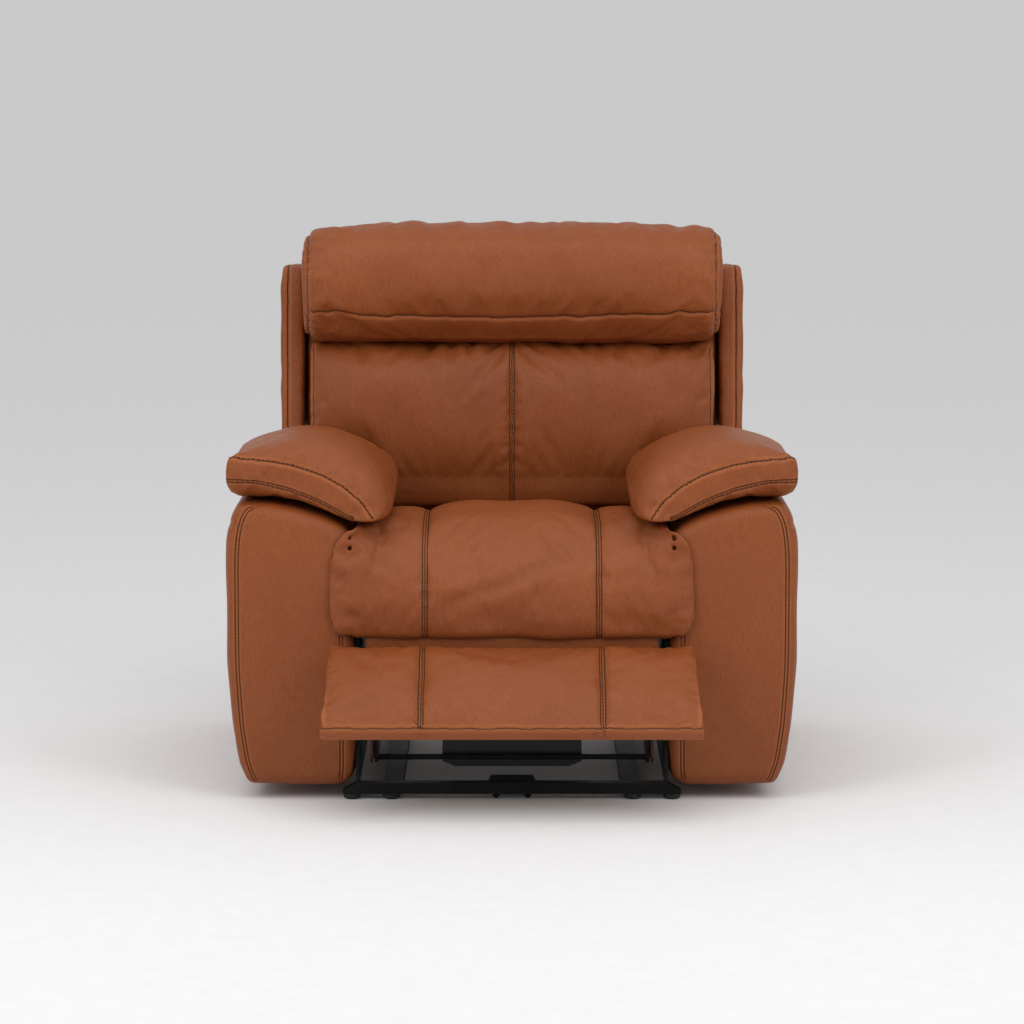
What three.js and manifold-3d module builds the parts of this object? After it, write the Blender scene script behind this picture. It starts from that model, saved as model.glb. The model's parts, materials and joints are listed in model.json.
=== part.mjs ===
// Power recliner armchair with its footrest partly open and its back upright.
// Millimetres, +Z up, the sitter faces -Y. "left" is -X and "right" is +X.
// Inside the chair group, Y is the depth behind the front face of the arms.

import * as THREE from 'three';
import { mergeVertices } from 'three/addons/utils/BufferGeometryUtils.js';
import { RoundedBoxGeometry } from 'three/addons/geometries/RoundedBoxGeometry.js';
import Module from 'manifold-3d';

const wasm = await Module();
wasm.setup();

// ---- Driving dimensions -------------------------------------------------------------------

const ARM_FRONT_Y = -351.8;        // centres the chair's length on the origin
const ARM_INNER = 280;             // half the clear width between the arms
const ARM_OUTER = 510;             // half the chair's width
const ARM_DEPTH = 820;
const ARM_BOTTOM = 25;
const ARM_TOP = 536;               // under the arm pad
const ARM_REAR_DROP = 46;          // the top falls this much between the pad's end and the rear
const PAD_DEPTH = 518;             // where the arm pad ends, clear of the reclined back
const PAD_REAR_DROP = 30;

const SEAT_HALF = 277;             // half width between the arms
const SEAT_EAR = 322;              // half width of the front, which laps the arm fronts
const SEAT_BACK = 556;             // depth of the seat cushion's rear edge

const GLIDE_HEIGHT = 10;
const BAR_TOP = 30;                // the base bars and rails lie between the glides and here
const REAR_BAR_DEPTH = 775;
const BAR_THICK = 25;
const RAIL_X = 212;                // centre of each base rail
const RAIL_WIDTH = 33;

const GAP = 0.3;                   // between pieces that rest on each other
const PIN_RADIUS = 6;
const PIN_CLEARANCE = 0.4;
const TUBE_RADIUS = 12.5;          // both cross tubes

// Layers of the side mechanism: [inner, outer] half widths.
const UPRIGHT_LAYER = [273, 279.7];
const BRACKET_LAYER = [265, 270];
const SEAT_PLATE_LAYER = [258, 263];
const LINK_LAYER = [250, 255];
const CARRIER_LAYER = [242, 247];
const FOOT_BRACKET_LAYER = [235, 240];

// Pivots as [depth, height].
const FRONT_LINK_TOP = [60, 272];
const REAR_LINK_TOP = [150, 272];
const LINK_LENGTH = 200;
const FOOT_HINGE = [6, 247.6];
const BACK_PIVOT = [760, 430];
const CROSS_TUBE = [225, 185];     // ties the seat plates and anchors both drives
const REAR_TUBE = [575, 185];      // ties the uprights and carries the recline motor
const CROSS_ROD = [76, 64];        // thin rod between the footrest carriers

const FOOT_TILT = 30;              // degrees below level, with the footrest partly open
const BACK_LEAN = 5;               // degrees, with the back upright
const RECLINE = 32;                // degrees of further recline
const SEAT_TRAVEL = 80;            // the seat runs forward this far over the full recline
const GUIDE_ARM = 100;             // guide pin's distance below the back pivot
const LIFT = 65;                   // degrees of swing of the footrest links
const CRANK_DROP = 60;             // drive line's distance below the torque tube

// ---- Finishes ------------------------------------------------------------------------------

const LEATHER = ['#95532f', 0.5, 0];
const STEEL = ['#151515', 0.45, 0.6];
const BRIGHT_STEEL = ['#9a9a98', 0.35, 0.9];
const PLASTIC = ['#1b1b1b', 0.55, 0];
const WOOD = ['#b58a5a', 0.8, 0];

function finish([color, roughness, metalness]) {
  return new THREE.MeshStandardMaterial({ color, roughness, metalness });
}

function add(parent, name, geometry, look, position = [0, 0, 0]) {
  const mesh = new THREE.Mesh(geometry, finish(look));
  mesh.name = name;
  mesh.position.set(...position);
  parent.add(mesh);
  return mesh;
}

// ---- Joins and cuts ------------------------------------------------------------------------

function toSolid(geometry) {
  const bare = geometry.clone();
  bare.deleteAttribute('normal');
  bare.deleteAttribute('uv');
  const merged = mergeVertices(bare, 1e-3);
  const vertProperties = Float32Array.from(merged.attributes.position.array);
  const triVerts = Uint32Array.from(merged.index.array);
  return new wasm.Manifold(new wasm.Mesh({ numProp: 3, vertProperties, triVerts }));
}

function toGeometry(solid) {
  const mesh = solid.getMesh();
  const geometry = new THREE.BufferGeometry();
  const positions = Float32Array.from(mesh.vertProperties);
  geometry.setAttribute('position', new THREE.BufferAttribute(positions, 3));
  geometry.setIndex(new THREE.BufferAttribute(Uint32Array.from(mesh.triVerts), 1));
  geometry.computeVertexNormals();
  return geometry;
}

function join(...geometries) {
  return toGeometry(geometries.map(toSolid).reduce((whole, piece) => whole.add(piece)));
}

function cut(base, ...tools) {
  return toGeometry(tools.map(toSolid).reduce((rest, tool) => rest.subtract(tool), toSolid(base)));
}

// ---- Shape helpers -------------------------------------------------------------------------

const AXIS_X = new THREE.Vector3(1, 0, 0);
const AXIS_Y = new THREE.Vector3(0, 1, 0);
const AXIS_Z = new THREE.Vector3(0, 0, 1);
const PLATE_FRAME = new THREE.Matrix4().makeBasis(AXIS_Y, AXIS_Z, AXIS_X);
const SECTION_FRAME = new THREE.Matrix4().makeBasis(AXIS_X, AXIS_Z, AXIS_Y.clone().negate());

function outline(points) {
  return new THREE.Shape(points.map(([a, b]) => new THREE.Vector2(a, b)));
}

// A smooth closed outline through the points.
function curved(points) {
  const loop = new THREE.CatmullRomCurve3(points.map(([a, b]) => new THREE.Vector3(a, b, 0)), true);
  const smooth = loop.getPoints(2 * points.length).slice(1);
  return outline(smooth.map((point) => [point.x, point.y]));
}

function extrude(shape, length, bevel, curveSegments = 2) {
  const geometry = new THREE.ExtrudeGeometry(shape, {
    depth: length - 2 * bevel,
    bevelEnabled: bevel > 0,
    bevelSize: bevel,
    bevelThickness: bevel,
    bevelOffset: -bevel,
    bevelSegments: 3,
    curveSegments,
  });
  return geometry.translate(0, 0, bevel);
}

// A shape of (depth, height) carried along X over a layer, on the left or right side.
function plate(shape, [inner, outer], side, bevel = 0) {
  const start = side > 0 ? inner : -outer;
  return extrude(shape, outer - inner, bevel, 6).applyMatrix4(PLATE_FRAME).translate(start, 0, 0);
}

// A shape of (x, height) carried along Y between two depths.
function section(shape, front, rear, bevel = 0) {
  return extrude(shape, rear - front, bevel).applyMatrix4(SECTION_FRAME).translate(0, rear, 0);
}

function box(x0, x1, y0, y1, z0, z1) {
  const geometry = new THREE.BoxGeometry(x1 - x0, y1 - y0, z1 - z0);
  return geometry.translate((x0 + x1) / 2, (y0 + y1) / 2, (z0 + z1) / 2);
}

function rod(x0, x1, radius, [depth, height], sides = 20) {
  const geometry = new THREE.CylinderGeometry(radius, radius, x1 - x0, sides);
  return geometry.rotateZ(Math.PI / 2).translate((x0 + x1) / 2, depth, height);
}

function sideRod([inner, outer], side, radius, at, sides = 20) {
  return side > 0 ? rod(inner, outer, radius, at, sides) : rod(-outer, -inner, radius, at, sides);
}

function round([depth, height], radius) {
  const path = new THREE.Path();
  path.absarc(depth, height, radius, 0, 2 * Math.PI, true);
  return path;
}

// The outline of a round cutter that has travelled along a path of [depth, height] points.
function sweptOutline(path, radius) {
  const points = path.map(([a, b]) => new THREE.Vector2(a, b));
  const last = points.length - 1;
  const heading = (i) => {
    const step = points[Math.min(i + 1, last)].clone().sub(points[Math.max(i - 1, 0)]);
    return step.angle();
  };
  const around = (point, angle) => new THREE.Vector2(
    point.x + radius * Math.cos(angle), point.y + radius * Math.sin(angle));
  const arc = (point, from) => [0, 1, 2, 3, 4, 5, 6].map((k) => around(point, from - k * Math.PI / 6));
  const leftSide = points.slice(1, last).map((point, i) => around(point, heading(i + 1) + Math.PI / 2));
  const rightSide = points.slice(1, last).map((point, i) => around(point, heading(i + 1) - Math.PI / 2));
  return [
    ...arc(points[0], heading(0) - Math.PI / 2),
    ...leftSide,
    ...arc(points[last], heading(last) + Math.PI / 2),
    ...rightSide.reverse(),
  ];
}

function strip(from, to, radius) {
  return new THREE.Shape(sweptOutline([from, to], radius).reverse());
}

function slot(path, radius) {
  return new THREE.Path(sweptOutline(path, radius));
}

const radians = THREE.MathUtils.degToRad;
const SIDES = [['left', -1], ['right', 1]];

const chair = new THREE.Group();
chair.position.y = ARM_FRONT_Y;

// ---- Base ----------------------------------------------------------------------------------

const BAR_HALF = 303;
const CHAMFER = [24, 14];

function baseBar() {
  const shoulder = BAR_HALF - CHAMFER[0];
  const shoulderZ = BAR_TOP - CHAMFER[1];
  const shape = outline([
    [-BAR_HALF, GLIDE_HEIGHT], [BAR_HALF, GLIDE_HEIGHT], [BAR_HALF, shoulderZ],
    [shoulder, BAR_TOP], [-shoulder, BAR_TOP], [-BAR_HALF, shoulderZ],
  ]);
  return section(shape, 0, BAR_THICK);
}

const FRONT_BAR_DEPTH = 4;
add(chair, 'front_base_bar', baseBar(), STEEL, [0, FRONT_BAR_DEPTH, 0]);
add(chair, 'rear_base_bar', baseBar(), STEEL, [0, REAR_BAR_DEPTH, 0]);

const railFront = FRONT_BAR_DEPTH + BAR_THICK + GAP;
for (const [word, side] of SIDES) {
  const centre = side * RAIL_X;
  const rail = box(centre - RAIL_WIDTH / 2, centre + RAIL_WIDTH / 2, railFront, REAR_BAR_DEPTH - GAP,
    GLIDE_HEIGHT, BAR_TOP);
  add(chair, `base_rail_${word}`, rail, STEEL);
}

function glide() {
  const profile = [[0, 0], [11, 0], [15, 3], [15, GLIDE_HEIGHT - GAP], [0, GLIDE_HEIGHT - GAP]];
  const points = profile.map(([r, z]) => new THREE.Vector2(r, z));
  return new THREE.LatheGeometry(points, 24).rotateX(Math.PI / 2);
}

const OUTER_GLIDE_X = 287;
const INNER_GLIDE_X = 216.5;
const glideRows = [
  ['front', FRONT_BAR_DEPTH + BAR_THICK / 2, [OUTER_GLIDE_X, INNER_GLIDE_X]],
  ['rear', REAR_BAR_DEPTH + BAR_THICK / 2, [OUTER_GLIDE_X]],
];
for (const [row, depth, offsets] of glideRows) {
  for (const [word, side] of SIDES) {
    offsets.forEach((offset, i) => {
      const place = i === 0 ? 'outer' : 'inner';
      add(chair, `glide_${row}_${place}_${word}`, glide(), PLASTIC, [side * offset, depth, 0]);
    });
  }
}

const TAB = { frontHalf: 42.5, rearHalf: 37.5, length: 53, thick: 6, bottom: 24 };
const tabShape = outline([
  [-TAB.frontHalf, railFront], [TAB.frontHalf, railFront],
  [TAB.rearHalf, railFront + TAB.length], [-TAB.rearHalf, railFront + TAB.length],
]);
add(chair, 'front_bar_tab', extrude(tabShape, TAB.thick, 0), STEEL, [0, 0, TAB.bottom]);

function bolt() {
  const head = new THREE.CylinderGeometry(7, 7, 5, 6).rotateX(Math.PI / 2).translate(0, 0, -2.5);
  const shank = new THREE.CylinderGeometry(4, 4, 5, 12).rotateX(Math.PI / 2).translate(0, 0, -6);
  return join(head, shank);
}

const BOLT_X = 28.5;
for (const [word, side] of SIDES) {
  const place = [side * BOLT_X, FRONT_BAR_DEPTH + BAR_THICK / 2, GLIDE_HEIGHT - GAP];
  add(chair, `tab_bolt_${word}`, bolt(), STEEL, place);
}

// Where the back's guide pin is after part of the recline, as [depth, height].
function guidePinAt(angle) {
  const swing = radians(angle);
  return [
    BACK_PIVOT[0] - GUIDE_ARM * Math.sin(swing) - SEAT_TRAVEL * angle / RECLINE,
    BACK_PIVOT[1] - GUIDE_ARM * Math.cos(swing),
  ];
}

const GUIDE_STUDS = [[150, 310], [560, 312]];
const STUD_RADIUS = 10;
const GUIDE_PIN_RADIUS = 7;

function upright(side) {
  const shape = outline([
    [6, BAR_TOP + GAP], [795, BAR_TOP + GAP], [795, 362], [600, 362], [578, 335],
    [26, 335], [26, 100], [6, 70],
  ]);
  for (const [depth, height] of GUIDE_STUDS) {
    shape.holes.push(slot([[depth - SEAT_TRAVEL, height], [depth, height]], STUD_RADIUS + 0.6));
  }
  const pinPath = Array.from({ length: 9 }, (_, i) => guidePinAt(i * RECLINE / 8));
  shape.holes.push(slot(pinPath, GUIDE_PIN_RADIUS + 1));
  shape.holes.push(round(REAR_TUBE, TUBE_RADIUS + 0.5));
  return plate(shape, UPRIGHT_LAYER, side);
}

for (const [word, side] of SIDES) {
  add(chair, `side_upright_${word}`, upright(side), STEEL);
}
add(chair, 'rear_cross_tube', rod(-279, 279, TUBE_RADIUS, REAR_TUBE, 24), STEEL);

// ---- Arms ----------------------------------------------------------------------------------

// The top of the arm falls away behind the pad.
function lowerRear(geometry, startDepth, endDepth, fromHeight, toHeight, drop) {
  const position = geometry.attributes.position;
  for (let i = 0; i < position.count; i += 1) {
    const along = THREE.MathUtils.clamp((position.getY(i) - startDepth) / (endDepth - startDepth), 0, 1);
    const up = THREE.MathUtils.clamp((position.getZ(i) - fromHeight) / (toHeight - fromHeight), 0, 1);
    position.setZ(i, position.getZ(i) - drop * along * up);
  }
  return geometry;
}

function armSection(side) {
  const outer = [
    [474, ARM_BOTTOM], [492, 64], [503, 137], [ARM_OUTER, 250], [ARM_OUTER, 405], [508, 470],
    [499, 512], [485, ARM_TOP],
  ];
  const top = [[430, 534], [380, 524], [339, 512], [305, 497], [286, 480]];
  const inner = [[ARM_INNER, 450], [ARM_INNER, 62], [285, 42], [298, 29], [312, ARM_BOTTOM]];
  const points = [...outer, ...top, ...inner];
  return outline(points.map(([x, z]) => [side * x, z]));
}

const SWITCH = { front: 225, rear: 295, bottom: 392, top: 452 };
const POCKET = 5;

function armBody(side) {
  const front = section(armSection(side), 0, PAD_DEPTH + 1, 22);
  const rear = section(armSection(side), PAD_DEPTH - 60, ARM_DEPTH, 22);
  const sloped = lowerRear(rear, PAD_DEPTH, ARM_DEPTH - 22, 300, ARM_TOP, ARM_REAR_DROP);
  const body = join(front, sloped);
  if (side < 0) {
    return body;
  }
  const { front: start, rear: end, bottom, top } = SWITCH;
  return cut(body, box(ARM_OUTER - POCKET, ARM_OUTER + 5, start, end, bottom, top));
}

function armPad(side) {
  const points = [
    [486, 540], [505, 557], [509, 580], [503, 618], [470, 636], [424, 641], [381, 641], [328, 635],
    [268, 607], [228, 572], [215, 540], [214, 517], [223, 503], [285, 502], [339, 518], [380, 530],
    [430, 538],
  ];
  const pad = section(curved(points.map(([x, z]) => [side * x, z])), -8, PAD_DEPTH, 12);
  return lowerRear(pad, 200, PAD_DEPTH, 560, 641, PAD_REAR_DROP);
}

for (const [word, side] of SIDES) {
  add(chair, `arm_body_${word}`, armBody(side), LEATHER);
  add(chair, `arm_pad_${word}`, armPad(side), LEATHER);
}

const BUTTON_RADIUS = 9;
const BUTTON_HEIGHT = (SWITCH.bottom + SWITCH.top) / 2;
const buttons = [['open', [243, BUTTON_HEIGHT]], ['close', [277, BUTTON_HEIGHT]]];
const panelHoles = buttons.map(([, at]) => round(at, BUTTON_RADIUS + 0.6));
const panelShape = outline([
  [SWITCH.front + 1, SWITCH.bottom + 1], [SWITCH.rear - 1, SWITCH.bottom + 1],
  [SWITCH.rear - 1, SWITCH.top - 1], [SWITCH.front + 1, SWITCH.top - 1],
]);
panelShape.holes.push(...panelHoles);
add(chair, 'switch_panel', plate(panelShape, [ARM_OUTER - POCKET + GAP, ARM_OUTER - 1.2], 1), PLASTIC);
for (const [word, at] of buttons) {
  add(chair, `button_${word}`, rod(ARM_OUTER - 3.2, ARM_OUTER, BUTTON_RADIUS, at, 28), PLASTIC);
}

// ---- Seat carriage -------------------------------------------------------------------------

function seatPlate(side) {
  const shape = outline([
    [30, 250], [196, 250], [204, 168], [246, 168], [254, 252], [560, 286], [640, 318], [772, 412],
    [782, 430], [772, 448], [755, 451], [736, 444], [640, 368], [560, 338], [30, 338],
  ]);
  for (const pivot of [FRONT_LINK_TOP, REAR_LINK_TOP, BACK_PIVOT]) {
    shape.holes.push(round(pivot, PIN_RADIUS + PIN_CLEARANCE));
  }
  return plate(shape, SEAT_PLATE_LAYER, side);
}

for (const [word, side] of SIDES) {
  add(chair, `seat_plate_${word}`, seatPlate(side), STEEL);
  GUIDE_STUDS.forEach((at, i) => {
    const span = [SEAT_PLATE_LAYER[1] + GAP, UPRIGHT_LAYER[1] - GAP];
    const row = i === 0 ? 'front' : 'rear';
    add(chair, `guide_stud_${row}_${word}`, sideRod(span, side, STUD_RADIUS, at, 20), PLASTIC);
  });
}

const FRAME_HALF = SEAT_PLATE_LAYER[0] - GAP;
add(chair, 'seat_front_rail', box(-FRAME_HALF, FRAME_HALF, 25, 65, 300, 340), WOOD);
add(chair, 'seat_rear_rail', box(-FRAME_HALF, FRAME_HALF, 516, SEAT_BACK, 300, 340), WOOD);
add(chair, 'seat_cross_tube', rod(-FRAME_HALF, FRAME_HALF, TUBE_RADIUS, CROSS_TUBE, 24), STEEL);

// Five zigzag wires tied across by two straight ones.
const SPRINGS = { height: 343.5, radius: 2.2, bends: 13, swing: 24, front: 35, run: 510 };

function zigzag(x) {
  const { height, radius, bends, swing, front, run } = SPRINGS;
  const points = Array.from({ length: bends }, (_, i) => {
    const aside = i % 2 === 0 ? -swing : swing;
    return new THREE.Vector3(x + aside, front + i * run / (bends - 1), height);
  });
  const wire = new THREE.Shape(round([0, 0], radius).getPoints(2));
  const extrudePath = new THREE.CatmullRomCurve3(points);
  return new THREE.ExtrudeGeometry(wire, { steps: 4 * (bends - 1), bevelEnabled: false, extrudePath });
}

function seatSprings() {
  const wires = [-200, -100, 0, 100, 200].map(zigzag);
  const ties = [205, 375].map((depth) => (
    rod(-222, 222, SPRINGS.radius, [depth, SPRINGS.height], 8)));
  return join(...wires, ...ties);
}

add(chair, 'seat_springs', seatSprings(), BRIGHT_STEEL);

function seatCushion() {
  const profile = outline([
    [SEAT_BACK, 350], [SEAT_BACK, 432], [SEAT_BACK - 16, 442], [400, 472], [250, 490], [150, 488],
    [60, 462], [22, 428], [0, 395], [-16, 362], [-20, 335], [-16, 308], [-4, 298], [12, 298], [19, 310],
    [20, 350],
  ]);
  const ear = [
    [-1, 465], [-10, 440], [-18, 380], [-20, 340], [-16, 308], [-6, 298], [-1, 298],
  ];
  const main = plate(profile, [-SEAT_HALF, SEAT_HALF], 1);
  const lap = plate(outline(ear), [-SEAT_EAR, SEAT_EAR], 1);
  return join(main, lap);
}

add(chair, 'seat_cushion', seatCushion(), LEATHER);

// ---- Footrest linkage ----------------------------------------------------------------------

const below = ([depth, height]) => [depth, height - LINK_LENGTH];
const FRONT_LINK_END = below(FRONT_LINK_TOP);
const REAR_LINK_END = below(REAR_LINK_TOP);

// A link with a pin out through the seat plate above and a pin in through the carrier below.
function swingLink(top, end, side) {
  const bar = plate(strip(top, end, 16), LINK_LAYER, side);
  const topPin = sideRod([LINK_LAYER[0] + 1, SEAT_PLATE_LAYER[1] + 1], side, PIN_RADIUS, top);
  const endPin = sideRod([CARRIER_LAYER[0] - 1, LINK_LAYER[1] - 1], side, PIN_RADIUS, end);
  return join(bar, topPin, endPin);
}

function carrier(side) {
  const hole = PIN_RADIUS + PIN_CLEARANCE;
  const post = plate(strip(FRONT_LINK_END, FOOT_HINGE, 13), CARRIER_LAYER, side);
  const foot = plate(strip(FRONT_LINK_END, REAR_LINK_END, 15), CARRIER_LAYER, side);
  const holes = [FRONT_LINK_END, REAR_LINK_END, FOOT_HINGE].map((at) => (
    sideRod([CARRIER_LAYER[0] - 2, CARRIER_LAYER[1] + 2], side, hole, at)));
  return cut(join(post, foot), ...holes);
}

for (const [word, side] of SIDES) {
  add(chair, `front_swing_link_${word}`, swingLink(FRONT_LINK_TOP, FRONT_LINK_END, side), STEEL);
  add(chair, `rear_swing_link_${word}`, swingLink(REAR_LINK_TOP, REAR_LINK_END, side), STEEL);
  add(chair, `footrest_carrier_${word}`, carrier(side), STEEL);
}

const rodHalf = CARRIER_LAYER[0] - GAP;
add(chair, 'footrest_cross_rod', rod(-rodHalf, rodHalf, 5, CROSS_ROD, 16), STEEL);

// The torque tube joins the front links, and its fork takes the drive nut's pin in two slots.
const FORK_LAYER = [15, 20];

function torqueTube() {
  const half = LINK_LAYER[0] - GAP;
  const lean = radians(LIFT / 2);
  const away = (distance) => [
    FRONT_LINK_TOP[0] + distance * Math.sin(lean), FRONT_LINK_TOP[1] - distance * Math.cos(lean),
  ];
  const reach = CRANK_DROP / Math.cos(lean);
  const forks = SIDES.map(([, side]) => {
    const arm = strip(FRONT_LINK_TOP, away(reach + 2), 13);
    arm.holes.push(slot([away(CRANK_DROP - 3), away(reach + 3)], 6));
    return plate(arm, FORK_LAYER, side);
  });
  return join(rod(-half, half, 14, FRONT_LINK_TOP, 24), ...forks);
}

add(chair, 'front_torque_tube', torqueTube(), STEEL);

const DRIVE_HEIGHT = FRONT_LINK_TOP[1] - CRANK_DROP;
const NUT_DEPTH = FRONT_LINK_TOP[0] + CRANK_DROP * Math.tan(radians(LIFT / 2));
const DRIVE_BOX = { half: 126, front: 90, rear: 200, bottom: 44, top: 100 };

function footrestDrive() {
  const { half, front, rear, bottom, top } = DRIVE_BOX;
  const caseShape = outline([
    [-half + 23, bottom], [half - 23, bottom], [half, bottom + 9], [half, top - 6], [half - 8, top],
    [-half + 8, top], [-half, top - 6], [-half, bottom + 9],
  ]);
  const gearHead = box(-30, 30, 152, rear, top - 10, DRIVE_HEIGHT + 20);
  const drivenRail = box(-7, 7, 14, 160, DRIVE_HEIGHT - 7, DRIVE_HEIGHT + 7);
  const clamp = box(-20, 20, rear - 10, CROSS_TUBE[0] + 8, CROSS_TUBE[1] - 22, CROSS_TUBE[1] + 22);
  const whole = join(section(caseShape, front, rear), gearHead, drivenRail, clamp);
  return cut(whole, rod(-40, 40, TUBE_RADIUS + GAP, CROSS_TUBE, 24));
}

function driveNut() {
  const block = box(-12, 12, -14, 14, -13, 13).translate(0, NUT_DEPTH, DRIVE_HEIGHT);
  const pin = rod(-22, 22, 4, [NUT_DEPTH, DRIVE_HEIGHT], 16);
  const bore = box(-7.5, 7.5, -30, 30, -7.5, 7.5).translate(0, NUT_DEPTH, DRIVE_HEIGHT);
  return cut(join(block, pin), bore);
}

add(chair, 'footrest_drive', footrestDrive(), PLASTIC);
add(chair, 'drive_nut', driveNut(), PLASTIC);

// ---- Footrest ------------------------------------------------------------------------------

// Inside this group, -Y runs along the board away from the hinge and +Z is out of its padded face.
const footrest = new THREE.Group();
footrest.position.set(0, ...FOOT_HINGE);
footrest.rotation.x = radians(FOOT_TILT);
chair.add(footrest);

const BOARD_BACK = 14;             // the board stands this far off the hinge line
const BOARD_FRONT = 26;
const FOOT_LENGTH = 230;
const FOOT_HALF = 330;

function footBracket(side) {
  const top = BOARD_BACK - GAP;
  const web = outline([[9, -9], [9, 9], [-4, top], [-110, top], [-110, 4], [-12, -9]]);
  const tab = outline([[-110, 10], [-30, 10], [-30, top], [-110, top]]);
  const flange = plate(tab, [FOOT_BRACKET_LAYER[0] - 30, FOOT_BRACKET_LAYER[1] - 2], side);
  const pin = sideRod([FOOT_BRACKET_LAYER[0] + 1, CARRIER_LAYER[1] + 1], side, PIN_RADIUS, [0, 0]);
  return join(plate(web, FOOT_BRACKET_LAYER, side), flange, pin);
}

for (const [word, side] of SIDES) {
  add(footrest, `footrest_bracket_${word}`, footBracket(side), STEEL);
}
add(footrest, 'footrest_board', box(-318, 318, -220, -12, BOARD_BACK, BOARD_FRONT), WOOD);

function footPad() {
  const profile = outline([
    [-8, BOARD_FRONT + GAP], [-8, 38], [-16, 50], [-45, 68], [-115, 78], [-190, 66], [-222, 46],
    [-FOOT_LENGTH, 38], [-FOOT_LENGTH, BOARD_FRONT + GAP],
  ]);
  return plate(profile, [-FOOT_HALF, FOOT_HALF], 1);
}

add(footrest, 'footrest_pad', footPad(), LEATHER);

// ---- Recline drive -------------------------------------------------------------------------

const ROD_BORE = 10;

function reclineMotor() {
  const body = box(-45, 45, 400, 545, 150, 218);
  const saddle = box(-20, 20, 540, REAR_TUBE[0] + 8, REAR_TUBE[1] - 22, REAR_TUBE[1] + 22);
  const bore = new THREE.CylinderGeometry(ROD_BORE, ROD_BORE, 160, 20).translate(0, 470, CROSS_TUBE[1]);
  const tubeHole = rod(-40, 40, TUBE_RADIUS + GAP, REAR_TUBE, 24);
  return cut(join(body, saddle), bore, tubeHole);
}

function reclineRod() {
  const front = CROSS_TUBE[0] + TUBE_RADIUS + GAP;
  const rear = 535;
  const length = rear - front;
  return new THREE.CylinderGeometry(8, 8, length, 20).translate(0, (front + rear) / 2, CROSS_TUBE[1]);
}

add(chair, 'recline_motor', reclineMotor(), PLASTIC);
add(chair, 'recline_rod', reclineRod(), BRIGHT_STEEL);

// ---- Back ----------------------------------------------------------------------------------

// Inside this group the back stands plumb, measured from its pivot; the group gives it its lean.
const back = new THREE.Group();
back.position.set(0, ...BACK_PIVOT);
back.rotation.x = -radians(BACK_LEAN);
chair.add(back);

const fromPivot = ([depth, height]) => [depth - BACK_PIVOT[0], height - BACK_PIVOT[1]];
const up = (height) => height - BACK_PIVOT[1];
const behind = (depth) => depth - BACK_PIVOT[0];

const FRAME_EDGE = 255;            // half width of the wooden back frame

function backBracket(side) {
  const web = outline([
    [782, 430], [735, 584], [672, 584], [672, 500], [740, 428], [752, 320], [784, 320],
  ].map(fromPivot));
  const spacerShape = outline([[656, 490], [692, 490], [692, 582], [656, 582]].map(fromPivot));
  const spacer = plate(spacerShape, [FRAME_EDGE + GAP, BRACKET_LAYER[0] + 2], side);
  const pivotPin = sideRod([SEAT_PLATE_LAYER[0] - 1, BRACKET_LAYER[1] - 1], side, PIN_RADIUS, [0, 0]);
  const lean = radians(BACK_LEAN);
  const guideAt = [GUIDE_ARM * Math.sin(lean), -GUIDE_ARM * Math.cos(lean)];
  const guideSpan = [BRACKET_LAYER[0] + 1, UPRIGHT_LAYER[1] - GAP];
  const guidePin = sideRod(guideSpan, side, GUIDE_PIN_RADIUS, guideAt);
  return join(plate(web, BRACKET_LAYER, side), spacer, pivotPin, guidePin);
}

for (const [word, side] of SIDES) {
  add(back, `back_bracket_${word}`, backBracket(side), STEEL);
}
const backFrame = box(-FRAME_EDGE, FRAME_EDGE, behind(654), behind(694), up(370), up(880));
add(back, 'back_frame', backFrame, WOOD);

const BACK_NECK = 250;             // half width between the arms
const BACK_HALF = 446;             // half width above the arms
const WING_INNER = 400;
const SHELL_HALF = 396;
const CUSHION_HALF = 392;

const shellShape = outline([
  [-BACK_NECK, up(330)], [BACK_NECK, up(330)], [BACK_NECK, up(590)], [SHELL_HALF, up(590)],
  [SHELL_HALF, up(904)], [-SHELL_HALF, up(904)], [-SHELL_HALF, up(590)], [-BACK_NECK, up(590)],
]);
add(back, 'back_shell', section(shellShape, behind(698), behind(876), 12), LEATHER);

function backWing(side) {
  const shape = outline([
    [620, 568], [760, 566], [872, 590], [878, 604], [874, 890], [860, 906], [660, 906], [640, 894],
  ].map(fromPivot));
  return plate(shape, [WING_INNER, BACK_HALF], side, 8);
}

for (const [word, side] of SIDES) {
  add(back, `back_wing_${word}`, backWing(side), LEATHER);
}

const cushionFoot = SEAT_HALF - 2;
const cushionShape = outline([
  [-cushionFoot, up(440)], [cushionFoot, up(440)], [cushionFoot, up(548)], [CUSHION_HALF, up(548)],
  [CUSHION_HALF, up(749)], [-CUSHION_HALF, up(749)], [-CUSHION_HALF, up(548)], [-cushionFoot, up(548)],
]);
add(back, 'lower_back_cushion', section(cushionShape, behind(558), behind(650), 16), LEATHER);

const PILLOW = { width: 788, thick: 150, tall: 235, front: 500, bottom: 751, corner: 55 };
const pillow = new RoundedBoxGeometry(PILLOW.width, PILLOW.thick, PILLOW.tall, 3, PILLOW.corner);
const pillowPlace = [0, behind(PILLOW.front + PILLOW.thick / 2), up(PILLOW.bottom + PILLOW.tall / 2)];
add(back, 'head_pillow', pillow, LEATHER, pillowPlace);

export default chair;
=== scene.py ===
import json
import math

import bmesh
import bpy
import numpy as np
from mathutils import Matrix, Vector
from mathutils.bvhtree import BVHTree


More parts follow.
